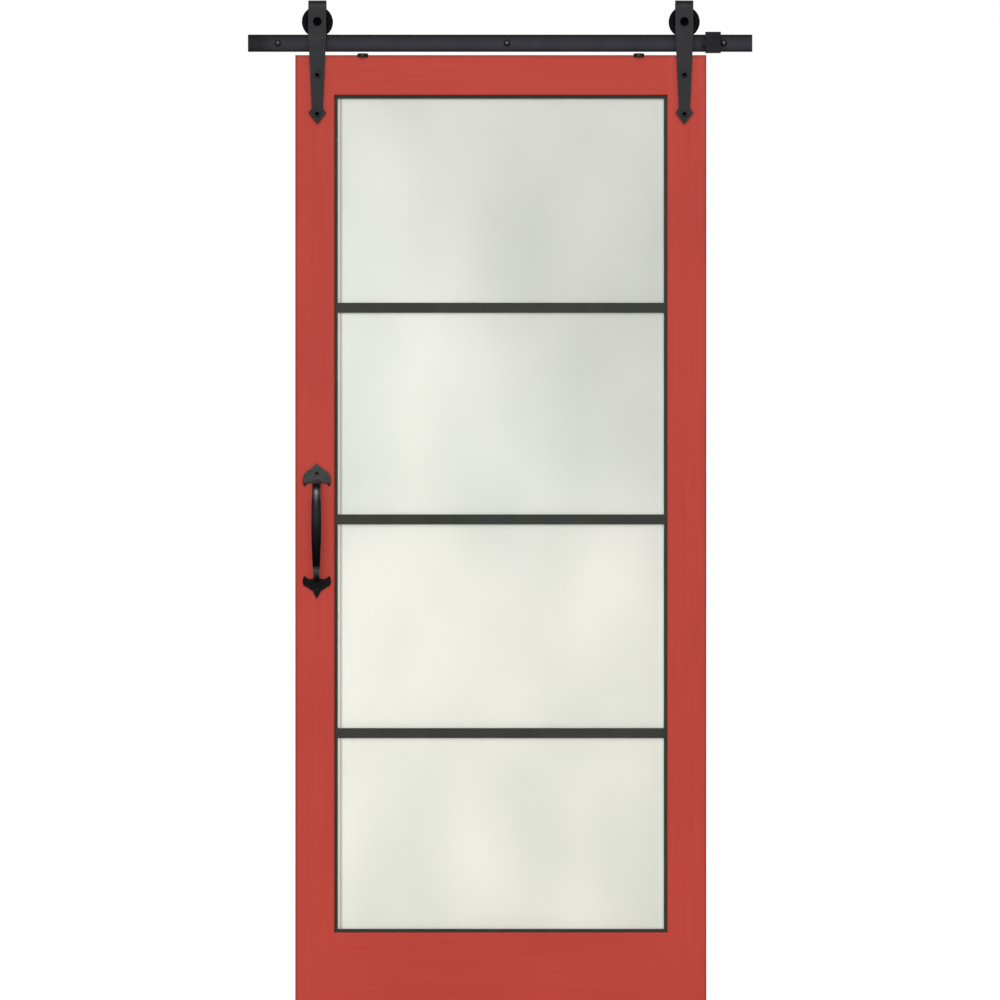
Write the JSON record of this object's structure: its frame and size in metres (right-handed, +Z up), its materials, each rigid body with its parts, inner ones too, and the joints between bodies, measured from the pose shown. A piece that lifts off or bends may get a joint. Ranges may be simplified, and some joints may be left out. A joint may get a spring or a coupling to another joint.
{
  "type": "sliding barn door",
  "caption": "Painted stile-and-rail sliding door with frosted lites, hung by arrow-ended strap hangers on grooved wheels from a flat wall track with a clamp stop and a cast pull.",
  "frame": {"origin": "midway between the flat track's outer lag screws, at its mid height and at the wall plane that its spacers stand on", "axes": "+X along the track to the right, +Y into the wall, +Z up; the leaf's face looks along -Y"},
  "size_m": [1.122, 0.1395, 2.2663],
  "materials": {
    "red_paint": "satin red paint on wood",
    "black_steel": "matte black powder coat on steel",
    "black_sash": "black powder coat on aluminium",
    "frosted_glass": "frosted",
    "black_rubber": "matte",
    "black_nylon": "moulded",
    "black_iron": "black lacquer",
    "black_bolt": "black oxide",
    "bright_steel": "zinc plated"
  },
  "bodies": {
    "track": {"rail": "black_steel", "spacers": "black_steel", "lag_screws": "black_bolt", "stop_block": "black_steel", "stop_bumper": "black_rubber", "stop_screws": "bright_steel", "floor_guide": "black_steel"},
    "leaf": {"stile_left": "red_paint", "stile_right": "red_paint", "top_rail": "red_paint", "bottom_rail": "red_paint", "sash_left": "black_sash", "sash_right": "black_sash", "sash_top": "black_sash", "sash_bottom": "black_sash", "bar_upper": "black_sash", "bar_middle": "black_sash", "bar_lower": "black_sash", "pane_top": "frosted_glass", "pane_upper": "frosted_glass", "pane_lower": "frosted_glass", "pane_bottom": "frosted_glass", "gasket_top": "black_rubber", "gasket_upper": "black_rubber", "gasket_lower": "black_rubber", "gasket_bottom": "black_rubber", "sash_screws": "bright_steel", "hanger_left": "black_steel", "hanger_right": "black_steel", "axle_bolts": "black_bolt", "axle_nuts": "black_bolt", "axle_sleeves": "bright_steel", "bearing_inners": "bright_steel", "strap_bolts": "black_bolt", "sleeve_nuts": "black_bolt", "pull_handle": "black_iron", "handle_screws": "black_bolt", "jump_discs": "black_nylon", "disc_screws": "bright_steel"},
    "wheel_left": {"wheel_left": "black_nylon", "bearing_outer_left": "bright_steel"},
    "wheel_right": {"wheel_right": "black_nylon", "bearing_outer_right": "bright_steel"}
  },
  "joints": [
    {"name": "leaf_slide", "type": "slide", "parent": "track", "child": "leaf", "axis": [1, 0, 0], "range_m": [-0.1195, 0.02]},
    {"name": "wheel_left_spin", "type": "hinge", "parent": "leaf", "child": "wheel_left", "pos_m": [-0.408, -0.035, 0.0473], "axis": [0, 1, 0], "continuous": true},
    {"name": "wheel_right_spin", "type": "hinge", "parent": "leaf", "child": "wheel_right", "pos_m": [0.408, -0.035, 0.0473], "axis": [0, 1, 0], "continuous": true}
  ],
  "couplings": [
    {"joint": "wheel_left_spin", "follows": "leaf_slide", "rad_per_m": 35.714},
    {"joint": "wheel_right_spin", "follows": "leaf_slide", "rad_per_m": 35.714}
  ]
}
